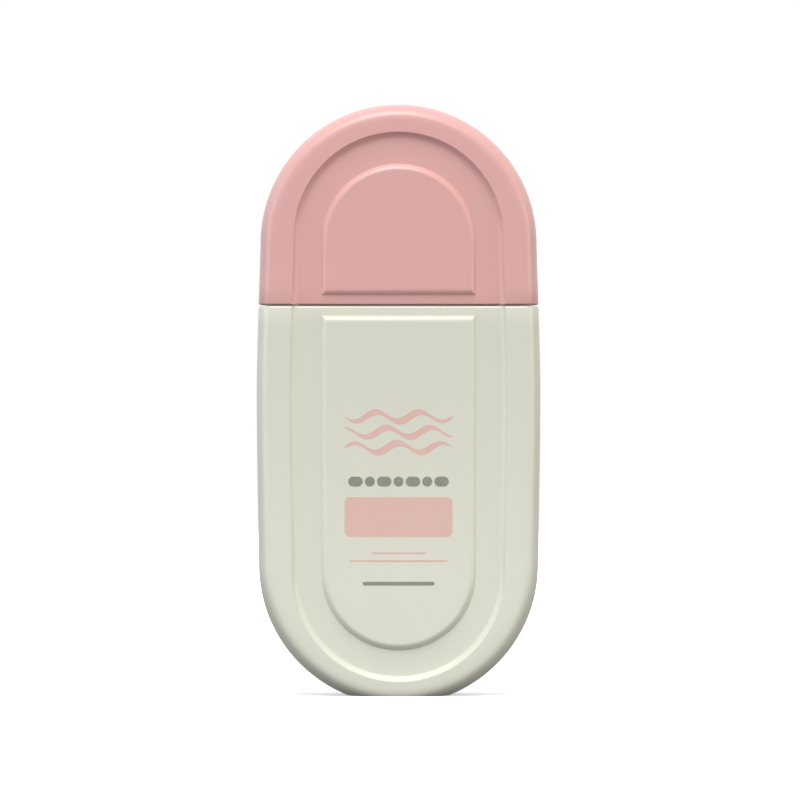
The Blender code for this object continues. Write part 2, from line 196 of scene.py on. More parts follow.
def point(name, text, default):
    return FloatVectorProperty(name=name, description=text, default=default, subtype="XYZ", unit="LENGTH")


def number(name, text, default):
    return FloatProperty(name=name, description=text, default=default)


def whole(name, text, default):
    return IntProperty(name=name, description=text, default=default)


class BottleSizes(bpy.types.PropertyGroup):
    """Outline, relief and walls of the bottle and the cap."""

    belly_half_width: size("Belly half width", "Half the width at the widest level", 34.1 * MM)
    shoulder_draw_in: size("Shoulder draw-in", "How far the sides draw in up to the top arc", 0.95 * MM)
    heel_draw_in: size("Heel draw-in", "How far the sides draw in down to the lower arc", 0.55 * MM)
    foot_cut: size("Foot cut", "How much of the lower arc the flat foot cuts off", 2.35 * MM)
    bottle_height: size("Bottle height", "Level of the bottle's edge at the seam", 93.3 * MM)
    edge_run: size("Edge run", "How far the rounded side reaches into the front", 4.0 * MM)
    rim_flat: size("Rim", "Flat of the rim beside the channel", 4.05 * MM)
    step_run: size("Step run", "Width of the step from the rim down to the channel", 1.5 * MM)
    step_drop: size("Step drop", "Depth of the channel below the rim", 1.3 * MM)
    channel_width: size("Channel width", "Flat floor of the channel", 5.15 * MM)
    bevel_run: size("Bevel run", "Width of the panel's bevel", 1.5 * MM)
    panel_rise: size("Panel rise", "Height of the panel above the channel", 1.1 * MM)
    support: size("Support strip", "Flat strip that keeps the shading of the flats even", 0.3 * MM)
    channel_top_rise: size("Channel top rise", "Centre of its top arc above the outline's", 1.3 * MM)
    channel_foot_drop: size("Channel foot drop", "Centre of its lower arc below the outline's", 2.3 * MM)
    panel_top_rise: size("Panel top rise", "Centre of its top arc above the outline's", 0.3 * MM)
    panel_foot_drop: size("Panel foot drop", "Centre of its lower arc below the outline's", 1.8 * MM)
    bottle_margin: size("Bottle panel margin", "From the seam to the bottle's panel", 1.85 * MM)
    cap_margin: size("Cap panel margin", "From the seam to the cap's panel", 1.9 * MM)
    bottle_wall: size("Bottle wall", "Wall of the blow-moulded bottle", 1.2 * MM)
    cap_wall: size("Cap wall", "Wall of the cap", 1.4 * MM)
    floor_thickness: size("Floor", "Thickness of the bottle's floor", 2.2 * MM)
    bottle_lip: size("Bottle lip", "Rounding of the bottle's edge at the seam", 0.5 * MM)
    cap_lip: size("Cap lip", "Rounding of the cap's edge at the seam", 0.3 * MM)
    guide_height: size("Guide height", "Height of the guide rim inside the cap", 3.4 * MM)
    guide_inset: size("Guide inset", "How far the guide rim stands in from the outside", 1.9 * MM)
    recess_radius: size("Recess radius", "Push-up in the middle of the foot", 7.0 * MM)
    recess_depth: size("Recess depth", "Depth of the foot's push-up", 0.8 * MM)
    fit_gap: size("Fit gap", "Clearance between pieces that fit together", 0.3 * MM)
    overrun: size("Overrun", "How far a cutter reaches past what it cuts", 1.0 * MM)
    outline_points: whole("Outline points", "Points round both arcs", 144)
    edge_points: whole("Edge points", "Steps round the side", 14)
    step_points: whole("Step points", "Rows of faces on each step of the relief", 8)
    turned_steps: whole("Turned steps", "Steps round a turned piece", 96)


class ClosureSizes(bpy.types.PropertyGroup):
    """Neck, thread, collar, spout, liner and stopper."""

    neck_wall: size("Neck wall", "Wall of the neck", 1.75 * MM)
    neck_fillet: size("Neck fillet", "Rounding between neck and shoulder", 0.7 * MM)
    thread_pitch: size("Thread pitch", "Rise of the thread in one turn", 3.2 * MM)
    thread_depth: size("Thread depth", "How far the ridge stands out", 0.75 * MM)
    thread_width: size("Thread width", "Width of the ridge at its root", 1.3 * MM)
    thread_crest: size("Thread crest", "Width of the ridge at its crest", 0.6 * MM)
    thread_embed: size("Thread embed", "How far the ridge reaches into its wall", 0.25 * MM)
    thread_top_margin: size("Thread margin", "Plain neck above the thread", 2.2 * MM)
    collar_wall: size("Collar wall", "Wall of the collar", 1.2 * MM)
    rib_depth: size("Rib depth", "Depth of the grooves round the collar", 0.3 * MM)
    rib_head: size("Rib head", "Plain band above the grooves", 1.4 * MM)
    collar_chamfer: size("Collar chamfer", "Chamfer round the collar's head", 0.4 * MM)
    collar_top: size("Collar top", "Thickness of the collar's head", 1.3 * MM)
    plug_wall: size("Plug wall", "Wall of the spout's plug", 1.0 * MM)
    plug_length: size("Plug length", "Length of the plug below the flange", 6.0 * MM)
    flange: size("Flange", "Thickness of the spout's flange", 1.2 * MM)
    stem: size("Stem", "Straight foot of the spout above the flange", 2.0 * MM)
    tip_wall: size("Tip wall", "Wall at the spout's tip", 0.9 * MM)
    orifice_length: size("Orifice length", "Length of the narrow way out", 4.0 * MM)
    orifice_radius: size("Orifice radius", "Radius of the spout's mouth", 1.2 * MM)
    cup_wall: size("Cup wall", "Wall of the liner's cup", 0.9 * MM)
    plate_lift: size("Plate lift", "From the cap's edge to the liner's plate", 9.8 * MM)
    plate_thickness: size("Plate thickness", "Thickness of the liner's plate", 1.2 * MM)
    plate_rim: size("Plate rim", "Height of the rim round the plate", 4.0 * MM)
    rim_wall: size("Rim wall", "Wall of the plate's rim", 1.0 * MM)
    cup_top: size("Cup top", "Thickness of the cup's closed end", 1.0 * MM)
    fin_height: size("Fin height", "Height of the webs beside the cup", 11.0 * MM)
    fin_foot: size("Fin foot", "Height of the webs at their far end", 1.0 * MM)
    fin_thickness: size("Fin thickness", "Thickness of the webs", 1.0 * MM)
    fin_margin: size("Fin margin", "From the webs' far end to the channel", 1.5 * MM)
    stopper_disc: size("Stopper disc", "Thickness of the stopper's disc", 1.2 * MM)
    stopper_wall: size("Stopper ring", "Wall of the ring that holds the stopper", 0.9 * MM)
    rib_count: whole("Ribs", "Ribs round the collar", 24)


class PrintSizes(bpy.types.PropertyGroup):
    """The plain decoration on the front panel."""

    ink: size("Ink", "Thickness of the ink", 0.05 * MM)
    band_half_width: size("Band half width", "Half the width of the pink band", 12.9 * MM)
    band_low: size("Band foot", "Lower edge of the band", 38.1 * MM)
    band_high: size("Band head", "Upper edge of the band", 47.6 * MM)
    wave_half_width: size("Wave half width", "Half the length of the waves", 13.0 * MM)
    wave_low: size("Waves' level", "Level of the lowest wave", 59.4 * MM)
    wave_gap: size("Wave gap", "From one wave to the next", 3.7 * MM)
    wave_reach: size("Wave reach", "How far a wave swings up and down", 1.1 * MM)
    wave_width: size("Wave width", "Width of the widest stroke", 1.55 * MM)
    waves: whole("Waves", "Number of waves", 3)
    band_corner: size("Band corner", "Rounding of the band's corners", 1.2 * MM)
    mark_level: size("Marks' level", "Middle of the row of grey marks", 51.3 * MM)
    mark_height: size("Mark height", "Height of a grey mark", 2.4 * MM)
    mark_half_width: size("Marks' half width", "Half the length of the row of marks", 10.3 * MM)
    marks: whole("Marks", "Number of grey marks", 7)
    rule_level: size("Rules' level", "Level of the upper rule", 34.2 * MM)
    rule_gap: size("Rule gap", "From the upper rule to the lower one", 1.9 * MM)
    rule_width: size("Rule width", "Width of a rule", 0.45 * MM)
    rule_half_width: size("Rule half width", "Half the length of the lower rule", 11.7 * MM)
    foot_bar_level: size("Foot bar's level", "Level of the grey bar below", 26.9 * MM)
    foot_bar_height: size("Foot bar's height", "Height of the grey bar below", 0.9 * MM)
    foot_bar_half_width: size("Foot bar's half width", "Half the length of the grey bar below", 8.6 * MM)


class FinishColours(bpy.types.PropertyGroup):
    """Colours of the plastics and inks."""

    ivory: colour("Ivory", "Bottle plastic", (0.69, 0.69, 0.585))
    pink: colour("Pink", "Cap plastic", (0.742, 0.400, 0.378))
    white: colour("White", "Liner and collar plastic", (0.80, 0.80, 0.78))
    spout: colour("Spout", "Soft spout plastic", (0.78, 0.78, 0.74))
    stopper: colour("Stopper", "Soft stopper", (0.74, 0.74, 0.72))
    foam: colour("Foam", "Gasket foam", (0.55, 0.55, 0.55))
    pink_ink: colour("Pink ink", "Printed pink", (0.72, 0.46, 0.41))
    grey_ink: colour("Grey ink", "Printed grey-green", (0.21, 0.23, 0.195))


class StudioSettings(bpy.types.PropertyGroup):
    """Camera and light."""

    camera_distance: size("Camera distance", "From the middle of the bottle to the camera", 2000 * MM)
    camera_level: size("Camera level", "Height of the camera", 70.8 * MM)
    camera_side: size("Camera side", "How far the camera stands to the right", 0.35 * MM)
    lens: number("Lens", "Focal length in millimetres on a 36 mm sensor", 374.1)
    key_place: point("Key place", "Middle of the soft light above", (-0.12, -0.86, 1.50))
    key_width: size("Key width", "Width of the soft light", 900 * MM)
    key_depth: size("Key depth", "Depth of the soft light", 1300 * MM)
    key_power: number("Key power", "Power of the soft light above", 24.6)
    ambient: number("Ambient", "Strength of the even light around", 0.48)
    fill_place: point("Fill place", "Middle of the low light in front", (0, -0.12, 0.02))
    fill_width: size("Fill width", "Width of the low light", 300 * MM)
    fill_height: size("Fill height", "Height of the low light", 30 * MM)
    fill_power: number("Fill power", "Power of the low light in front", 0.039)
    back_place: point("Back place", "Middle of the soft light behind", (0, 1.4, 0.45))
    back_width: size("Back width", "Width of the soft light behind", 1000 * MM)
    back_height: size("Back height", "Height of the soft light behind", 800 * MM)
    back_power: number("Back power", "Power of the soft light behind", 9.0)
    side_reach: size("Side reach", "From the bottle to the light on each side", 600 * MM)
    side_width: size("Side width", "Width of the light on each side", 350 * MM)
    side_power: number("Side power", "Power of the light on each side", 1.0)
    left_tone: colour("Left tone", "Colour of the light on the left", (0.80, 0.92, 1.0))
    right_tone: colour("Right tone", "Colour of the light on the right", (1.0, 0.93, 0.80))
    floor_size: size("Floor size", "Side of the square floor", 5000 * MM)
    floor_tone: number("Floor tone", "How much light the floor gives back", 0.12)
    floor_glow: number("Floor glow", "Brightness of the floor under the bottle", 0.45)


def shoulder_half_width(sizes):
    return sizes.belly_half_width - sizes.shoulder_draw_in


def heel_half_width(sizes):
    return sizes.belly_half_width - sizes.heel_draw_in


def top_centre(sizes):
    return HEIGHT - shoulder_half_width(sizes)


def foot_centre(sizes):
    return heel_half_width(sizes) - sizes.foot_cut


def shoulder_level(sizes):
    return sizes.bottle_height + sizes.guide_height


def relief_inset(sizes):
    """From the outline to the inner edge of the channel."""
    return sizes.edge_run + sizes.rim_flat + sizes.step_run + sizes.channel_width


def panel_depth(sizes):
    """From the middle of the bottle to the face of the panel."""
    return HALF_DEPTH - sizes.step_drop + sizes.panel_rise


def half_width_at(sizes, level):
    """Half the outline's width, full at the belly and drawn in towards both arcs."""
    if level > BELLY_LEVEL:
        share = (level - BELLY_LEVEL) / (top_centre(sizes) - BELLY_LEVEL)
        end = shoulder_half_width(sizes)
    else:
        share = (BELLY_LEVEL - level) / (BELLY_LEVEL - foot_centre(sizes))
        end = heel_half_width(sizes)
    return lerp(sizes.belly_half_width, end, share ** 2 * (2 - share))


def activate(piece):
    """Leave edit mode and select just this piece."""
    if bpy.context.mode != "OBJECT":
        bpy.ops.object.mode_set(mode="OBJECT")
    bpy.ops.object.select_all(action="DESELECT")
    if piece is not None:
        bpy.context.view_layer.objects.active = piece
        piece.select_set(True)


def name_new(name):
    """Name the object just added, and put its place into its mesh."""
    piece = bpy.context.object
    piece.name = piece.data.name = name
    bpy.ops.object.transform_apply(location=True, rotation=True, scale=True)
    return piece


def shape(piece):
    """Open one piece in edit mode, with nothing selected."""
    activate(piece)
    bpy.ops.object.mode_set(mode="EDIT")
    bpy.ops.mesh.select_all(action="DESELECT")


def work_mesh():
    return bmesh.from_edit_mesh(bpy.context.object.data)


def pick_all():
    bpy.ops.mesh.select_all(action="SELECT")


def select_only(kind, find):
    """Select just the points, edges or faces that find returns from the mesh."""
    bpy.ops.mesh.select_mode(type=kind)
    bpy.ops.mesh.select_all(action="DESELECT")
    mesh = work_mesh()
    for item in find(mesh):
        item.select_set(True)
    mesh.select_flush_mode()
    bmesh.update_edit_mesh(bpy.context.object.data)


def pick(kind, test):
    """Select the points, edges or faces that pass a test."""
    select_only(kind, lambda mesh: [item for item in getattr(mesh, MESH_LISTS[kind]) if test(item)])


def widest_face(mesh):
    return max(mesh.faces, key=lambda face: face.calc_area())


def pick_floor():
    """Select the widest face, which is the flat that is being worked inwards."""
    select_only("FACE", lambda mesh: [widest_face(mesh)])


def pick_rim(level):
    """Select the open edge that lies at a level."""
    pick("EDGE", lambda edge: edge.is_boundary and all(abs(v.co.z - level) < 2 * WELD for v in edge.verts))


def move(shift=None, scale=None, centre=(0, 0, 0)):
    """Scale what is selected about a centre, and then shift it."""
    if scale is not None:
        bpy.ops.transform.resize(value=scale, center_override=centre)
    if shift is not None:
        bpy.ops.transform.translate(value=shift)


def move_floor_corners(find, **change):
    """Move the corners of the widest face that find returns, and select the face again."""
    select_only("VERT", lambda mesh: find(widest_face(mesh)))
    move(**change)
    pick_floor()


def extrude(x=0.0, y=0.0, z=0.0):
    """Extrude the selected edges or faces by a shift."""
    bpy.ops.mesh.extrude_region_move(TRANSFORM_OT_translate={"value": (x, y, z)})


def inset(width, rise=0.0):
    bpy.ops.mesh.inset(thickness=width, depth=rise, use_even_offset=True)


def inset_along(points):
    """Inset the selected face along a profile of (run, rise) points that starts at its edge."""
    for (run, rise), (next_run, next_rise) in zip(points, points[1:]):
        inset(next_run - run, next_rise - rise)


def cut_level(level, keep=0, fill=False):
    """Cut the piece at a level and keep what lies above (1), below (-1) or both (0)."""
    pick_all()
    bpy.ops.mesh.bisect(
        plane_co=(0, 0, level), plane_no=(0, 0, keep or 1), use_fill=fill,
        clear_inner=keep != 0, threshold=WELD,
    )


def draw_rim_in(rows, reach):
    """Extrude the selected rim along (level, inset) rows, drawn in by scaling."""
    for (level, inset_now), (next_level, inset_next) in zip(rows, rows[1:]):
        extrude(z=next_level - level)
        wider = [(half - inset_next) / (half - inset_now) for half in reach]
        bpy.ops.transform.resize(value=(*wider, 1), center_override=(0, 0, next_level))


def lip(edge, direction, radius, inset_by=0.0):
    """Rows (level, inset) that round an edge; the inset grows when radius is positive."""
    rows = []
    for share in shares(LIP_STEPS):
        angle = math.pi / 2 * share
        level = edge - direction * abs(radius) * (1 - math.sin(angle))
        rows.append((level, inset_by + radius * (1 - math.cos(angle))))
    return rows


def close_up():
    """Merge doubles, turn all faces outwards and leave edit mode."""
    bpy.ops.mesh.select_mode(type="VERT")
    pick_all()
    bpy.ops.mesh.remove_doubles(threshold=WELD)
    bpy.ops.mesh.normals_make_consistent(inside=False)
    bpy.ops.object.mode_set(mode="OBJECT")


def apply_modifier(piece, kind, **settings):
    activate(piece)
    modifier = piece.modifiers.new(kind.lower(), kind)
    for key, value in settings.items():
        setattr(modifier, key, value)
    bpy.ops.object.modifier_apply(modifier=modifier.name)


def combine(piece, other, operation):
    """Join or cut with another closed mesh, and remove that mesh."""
    apply_modifier(piece, "BOOLEAN", operation=operation, solver="EXACT", object=other)
    bpy.data.objects.remove(other, do_unlink=True)


def present(piece, body, slot, material, *nodes):
    """Tidy and smooth a finished piece, give it its finish and put it on its body."""
    shape(piece)
    pick_all()
    bpy.ops.mesh.remove_doubles(threshold=WELD)
    bpy.ops.mesh.dissolve_degenerate(threshold=WELD)
    activate(piece)
    bpy.ops.object.shade_smooth_by_angle(angle=SHARP_ANGLE)
    piece.data.materials.clear()
    piece.data.materials.append(material)
    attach(piece, body)
    if nodes:
        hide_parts(*nodes)


def draw_outline(sizes, name, inset_by):
    """Draw the round-ended outline, full at the belly, as one face that looks to the front."""
    half_step = math.pi / sizes.outline_points
    heel, shoulder = heel_half_width(sizes) - inset_by, shoulder_half_width(sizes) - inset_by
    low, high = foot_centre(sizes), top_centre(sizes)
    activate(None)
    bpy.ops.mesh.primitive_circle_add(
        vertices=sizes.outline_points, radius=heel / math.cos(half_step), fill_type="NOTHING",
        location=(0, 0, low), rotation=(math.pi / 2, half_step, 0),
    )
    outline = name_new(name)
    shape(outline)
    pick("VERT", lambda vert: vert.co.z > low)
    move(scale=(shoulder / heel,) * 3, centre=(0, 0, low), shift=(0, 0, high - low))
    clear = sizes.bevel_run + CLEAR_STRIPS * sizes.support
    bottle_panel = sizes.bottle_height - sizes.bottle_margin - clear
    cap_panel = CAP_EDGE + sizes.cap_margin + clear
    levels = [lerp(low, bottle_panel, share) for share in shares(BOTTLE_ROWS)[1:]]
    levels += [lerp(cap_panel, high, share) for share in shares(CAP_ROWS)[:-1]]
    for level in levels:
        cut_level(level)
        pick("VERT", lambda vert: abs(vert.co.z - level) < WELD)
        mesh = work_mesh()
        reach = max(vert.co.x for vert in mesh.verts if vert.select)
        move(scale=((half_width_at(sizes, level) - inset_by) / reach, 1, 1), centre=(0, 0, level))
    pick_all()
    bpy.ops.mesh.edge_face_add()
    return outline


def raise_front(sizes, inset_by):
    """Round the side over into the front, leave the rim flat and step down to the channel."""
    power = 2 / EDGE_FULLNESS
    run, depth = sizes.edge_run - inset_by, HALF_DEPTH - inset_by
    low, high = foot_centre(sizes), top_centre(sizes)
    angles = [math.pi / 2 * share for share in shares(sizes.edge_points)]
    pick_floor()
    inset_along([
        (run * (1 - abs(math.cos(angle)) ** power), depth * math.sin(angle) ** power) for angle in angles
    ])
    inset(sizes.rim_flat)
    above = lambda face: [v for v in face.verts if v.co.z > high]
    below = lambda face: [v for v in face.verts if v.co.z < low]
    move_floor_corners(above, shift=(0, 0, sizes.channel_top_rise))
    move_floor_corners(below, shift=(0, 0, -sizes.channel_foot_drop))
    inset_along([(sizes.step_run * s, -sizes.step_drop * run_out(s)) for s in shares(sizes.step_points)])
    inset(sizes.support)


def raise_panel(sizes, direction, margin):
    """Raise the arched panel on the channel's floor; direction is 1 on the cap and -1 on the bottle."""
    inset(sizes.channel_width - 2 * sizes.support)
    half_width = shoulder_half_width(sizes) - relief_inset(sizes) + sizes.support
    if direction > 0:
        radius, centre = shoulder_half_width(sizes), top_centre(sizes) + sizes.channel_top_rise
        shift = sizes.panel_top_rise - sizes.channel_top_rise
    else:
        radius, centre = heel_half_width(sizes), foot_centre(sizes) - sizes.channel_foot_drop
        shift = sizes.channel_foot_drop - sizes.panel_foot_drop
    seam_shift = direction * (margin - sizes.support - (sizes.channel_width - 2 * sizes.support))
    move_floor_corners(
        lambda face: max(face.edges, key=lambda edge: edge.calc_length()).verts, shift=(0, 0, seam_shift)
    )
    scale = half_width / (radius - relief_inset(sizes) + sizes.support)
    in_arc = lambda v: direction * (v.co.z - centre) > 0
    move_floor_corners(
        lambda face: [v for v in face.verts if in_arc(v)],
        scale=(scale, 1, scale), centre=(0, 0, centre), shift=(0, 0, shift),
    )
    mesh = work_mesh()
    rows = {round(v.co.z / WELD): abs(v.co.x) for v in widest_face(mesh).verts if not in_arc(v)}
    for row, reach in rows.items():
        move_floor_corners(
            lambda face: [v for v in face.verts if abs(v.co.z - row * WELD) < WELD],
            scale=(half_width / reach, 1, 1), centre=(0, 0, row * WELD),
        )
    inset(sizes.support)
    inset_along([(sizes.bevel_run * s, sizes.panel_rise * run_out(s)) for s in shares(sizes.step_points)])
    inset(sizes.support)


def round_ended_shell(sizes, name, inset_by, seam=None, keep=1, margin=None):
    """The front half with its relief, cut at the seam, and its mirror image at the back."""
    shell = draw_outline(sizes, name, inset_by)
    raise_front(sizes, inset_by)
    if seam is not None:
        cut_level(seam, keep)
    if margin is not None:
        pick_floor()
        raise_panel(sizes, keep, margin)
    apply_modifier(shell, "MIRROR", use_axis=(False, True, False), merge_threshold=WELD)
    return shell


class Wire:
    """A socket in a material, with arithmetic that adds Math nodes."""

    def __init__(self, finish, socket):
        self.finish, self.socket = finish, socket

    def maths(self, operation, first, second):
        return self.finish.node("ShaderNodeMath", {"operation": operation}, {0: first, 1: second})

    def __add__(self, other):
        return self.maths("ADD", self, other)

    def __radd__(self, other):
        return self.maths("ADD", other, self)

    def __mul__(self, other):
        return self.maths("MULTIPLY", self, other)

    def __rmul__(self, other):
        return self.maths("MULTIPLY", other, self)


class Finish:
    """One material, built up node by node round its Principled shader."""

    def __init__(self, name):
        self.material = bpy.data.materials.new(name)
        self.material.use_nodes = True
        self.tree = self.material.node_tree
        self.shader = self.tree.nodes["Principled BSDF"]
        self.place = self.node("ShaderNodeTexCoord", output="Object")

    def node(self, kind, settings=None, sockets=None, output=0):
        """Add a node with its settings, then the values or links of its sockets."""
        node = self.tree.nodes.new(kind)
        for key, value in (settings or {}).items():
            if key == "stops":
                self.set_stops(node.color_ramp, value)
            else:
                setattr(node, key, value)
        for key, value in (sockets or {}).items():
            self.feed(node.inputs[key], value)
        return Wire(self, node.outputs[output])

    def set_stops(self, ramp, stops):
        while len(ramp.elements) < len(stops):
            ramp.elements.new(1.0)
        for element, (position, shade) in zip(ramp.elements, stops):
            element.position = position
            element.color = (shade, shade, shade, 1)

    def feed(self, socket, value):
        if isinstance(value, Wire):
            self.tree.links.new(value.socket, socket)
        else:
            socket.default_value = value

    def noise(self, grain, detail=2.0, roughness=0.5, stretch=(1, 1, 1)):
        """Noise from 0 to 1 whose grain is a length on the piece."""
        place = self.node("ShaderNodeMapping", {}, {"Vector": self.place, "Scale": stretch})
        return self.node("ShaderNodeTexNoise", {}, {
            "Vector": place, "Scale": 1 / grain, "Detail": detail, "Roughness": roughness,
        })

    def ramp(self, value, *stops):
        return self.node("ShaderNodeValToRGB", {"stops": stops}, {"Fac": value})

    def tint(self, share, first, second):
        """A colour between two colours."""
        return self.node("ShaderNodeMix", {"data_type": "RGBA"}, {
            "Factor": share, 6: (*first, 1), 7: (*second, 1),
        }, output=2)

    def bump(self, height, depth, under=None):
        """A relief of this real depth, on top of another one."""
        sockets = {"Height": height, "Distance": depth, "Strength": 1.0}
        if under is not None:
            sockets["Normal"] = under
        return self.node("ShaderNodeBump", {}, sockets)

    def paint(self, **sockets):
        for key, value in sockets.items():
            self.feed(self.shader.inputs[key.replace("_", " ")], value)
        return self.material


def shaded(tone, share):
    return tuple(channel * share for channel in tone)


def satin_plastic(name, tone):
    """Satin moulded plastic: a fine spark texture, faint flow marks and a slightly uneven wall."""
    finish = Finish(name)
    flow = finish.noise(FLOW_GRAIN, detail=3.0, roughness=0.55, stretch=FLOW_STRETCH)
    speckle = finish.noise(SPARK_GRAIN, roughness=0.6)
    sweep = finish.noise(SWEEP_GRAIN)
    share = flow * FLOW_SHARE + speckle * (1 - FLOW_SHARE)
    dark, light = (shaded(tone, level) for level in SATIN_TINTS)
    plain = ROUGHNESS[name] - (SPARK_ROUGHNESS + SWEEP_ROUGHNESS) / 2
    uneven = finish.bump(sweep, WALL_RELIEF)
    return finish.paint(
        Base_Color=finish.tint(share, dark, light),
        Roughness=speckle * SPARK_ROUGHNESS + sweep * SWEEP_ROUGHNESS + plain,
        Normal=finish.bump(speckle, SPARK_RELIEF, uneven),
        Specular_IOR_Level=SATIN_SPECULAR,
    )


def white_plastic(scene):
    """The material of the collar and the liner, made once."""
    ready = bpy.data.materials.get("white_plastic")
    return ready or satin_plastic("white_plastic", scene.finish_colours.white)


def foam_finish(name, tone):
    """Closed-cell foam: open bubbles cut through on the surface."""
    finish = Finish(name)
    cells = finish.node("ShaderNodeTexVoronoi", {}, {"Vector": finish.place, "Scale": 1 / FOAM_CELL})
    fine = finish.noise(FOAM_GRAIN)
    share = cells * FOAM_CELL_SHARE + fine * (1 - FOAM_CELL_SHARE)
    dark, light = (shaded(tone, level) for level in FOAM_TINTS)
    plain, change = FOAM_ROUGHNESS
    return finish.paint(
        Base_Color=finish.tint(share, dark, light), Roughness=plain + fine * change,
        Normal=finish.bump(cells, FOAM_RELIEF),
    )


def ink_finish(name, tone, ground, cover):
    """Screen-printed ink: nearly even, with pinholes and a soft mottle that let the plastic through."""
    finish = Finish(name)
    mottle = finish.noise(MOTTLE_GRAIN, detail=3.0, roughness=0.6)
    pinhole = finish.ramp(finish.noise(PINHOLE_GRAIN, detail=1.0), *PINHOLE_STOPS)
    share = pinhole * (cover + mottle * (1 - cover))
    plain, change = INK_ROUGHNESS
    return finish.paint(
        Base_Color=finish.tint(share, ground, tone), Roughness=plain + mottle * change,
        Normal=finish.bump(pinhole, INK_RELIEF),
    )


def rounded(corners, points=4):
    """A profile from (radius, level, rounding) corners, each rounded one turned into an arc."""
    profile = []
    for before, corner, after in zip(corners[-1:] + corners[:-1], corners, corners[1:] + corners[:1]):
        here = Vector(corner[:2])
        if corner[2] == 0:
            profile.append(tuple(here))
            continue
        start = here + (Vector(before[:2]) - here).normalized() * corner[2]
        end = here + (Vector(after[:2]) - here).normalized() * corner[2]
        for share in shares(points):
            profile.append(tuple(start.lerp(here, share).lerp(here.lerp(end, share), share)))
    return profile


def draw_chain(name, points):
    """Draw a chain of (x, level) points by extruding one corner from point to point."""
    activate(None)
    bpy.ops.mesh.primitive_plane_add(size=MM)
    piece = name_new(name)
    shape(piece)
    pick_all()
    bpy.ops.mesh.merge(type="CENTER")
    move(shift=(points[0][0], 0, points[0][1]))
    for (x, level), (next_x, next_level) in zip(points, points[1:]):
        shift = (next_x - x, 0, next_level - level)
        bpy.ops.mesh.extrude_vertices_move(TRANSFORM_OT_translate={"value": shift})
    pick_all()
    bpy.ops.mesh.remove_doubles(threshold=WELD)
    return piece


def turn(sizes, name, corners, ring=False):
    """Spin a profile of (radius, level, rounding) corners about the bottle's axis."""
    points = rounded(corners)
    piece = draw_chain(name, points + points[:1] if ring else points)
    bpy.ops.mesh.spin(steps=sizes.turned_steps, angle=math.tau, center=(0, 0, 0), axis=(0, 0, 1))
    close_up()
    return piece


def thread_ridge(sizes, closure, name, root, crest, turns, low):
    """A screw ridge that climbs from a level, tapered at both ends."""
    foot, tip, pitch = closure.thread_width / 2, closure.thread_crest / 2, closure.thread_pitch
    section = [(root, low - foot), (crest, low - tip), (crest, low + tip), (root, low + foot)]
    ridge = draw_chain(name, section + section[:1])
    steps = round(sizes.turned_steps * turns)
    apply_modifier(
        ridge, "SCREW", axis="Z", angle=math.tau * turns, screw_offset=pitch * turns, steps=steps,
        render_steps=steps, use_merge_vertices=False,
    )
    shape(ridge)
    pick("EDGE", lambda edge: edge.is_boundary)
    bpy.ops.mesh.edge_face_add()
    for step in range(steps + 1):
        fade = min(step, steps - step) / (THREAD_FADE_SHARE * steps)
        if fade < 1:
            angle = math.tau * step / sizes.turned_steps
            level = low + pitch * step / sizes.turned_steps
            middle = Vector((crest * math.cos(angle), crest * math.sin(angle), level))
            pick("VERT", lambda v: (v.co - middle).length < CREST_REACH * tip)
            reach = lerp(root, crest, max(fade, THREAD_END_SHARE)) / crest
            move(scale=(reach, reach, 1))
    close_up()
    return ridge


def stroke(name, columns, ink, depth):
    """A flat printed stroke: an edge drawn along (x, level, width) columns, as thick as the ink."""
    x, level, width = columns[0]
    print_piece = draw_chain(name, [(x, level - width / 2), (x, level + width / 2)])
    for (x, level, width), (next_x, next_level, next_width) in zip(columns, columns[1:]):
        extrude(next_x - x, 0, next_level - level)
        move(scale=(1, 1, next_width / width), centre=(next_x, 0, next_level))
    pick_all()
    extrude(y=-ink * INK_SINK_SHARE)
    pick_all()
    move(shift=(0, ink - depth, 0))
    close_up()
    return print_piece


def pill(middle, level, half_length, height, round_by, points=8):
    """Columns of a bar with rounded ends, or of a dot."""
    columns = []
    for direction in (-1, 1):
        for share in shares(points)[::-direction]:
            angle = math.pi / 2 * lerp(PILL_TIP_SHARE, 1, share)
            x = middle + direction * (half_length - round_by * (1 - math.cos(angle)))
            columns.append((x, level, height - 2 * round_by * (1 - math.sin(angle))))
    return [c for i, c in enumerate(columns) if i == 0 or c[0] - columns[i - 1][0] > WELD]


def join(pieces):
    """Make one piece of several, named as the first."""
    activate(pieces[0])
    if len(pieces) > 1:
        for piece in pieces:
            piece.select_set(True)
        bpy.ops.object.join()
    return pieces[0]


def seam_reach(sizes, level):
    """Half width and half depth of the outline at a level."""
    return half_width_at(sizes, level), HALF_DEPTH


def neck_radius():
    return GASKET_HIGH.x


def bore_radius(closure):
    return neck_radius() - closure.neck_wall


def plug_radius(sizes, closure):
    return bore_radius(closure) - sizes.fit_gap


def thread_low(closure):
    return LAND_LEVEL - closure.thread_top_margin - closure.thread_pitch * NECK_TURNS


def cup_outer(sizes):
    return HALF_DEPTH - sizes.step_drop - sizes.cap_wall - 2 * sizes.fit_gap


def bottle_solid(sizes):
    """The bottle's outside with its foot cut flat, its edge, its guide rim and its closed shoulder."""
    seam, rounding = sizes.bottle_height, sizes.bottle_lip
    body = round_ended_shell(sizes, "bottle_body", 0, seam - rounding, -1, sizes.bottle_margin)
    shape(body)
    cut_level(0, 1, fill=True)
    pick_rim(seam - rounding)
    shoulder = shoulder_level(sizes)
    guide = sizes.guide_inset
    rows = lip(seam, 1, rounding) + [(seam, guide)] + lip(shoulder, 1, rounding, guide)
    draw_rim_in(rows, seam_reach(sizes, seam))
    bpy.ops.mesh.edge_face_add()
    close_up()
    return body


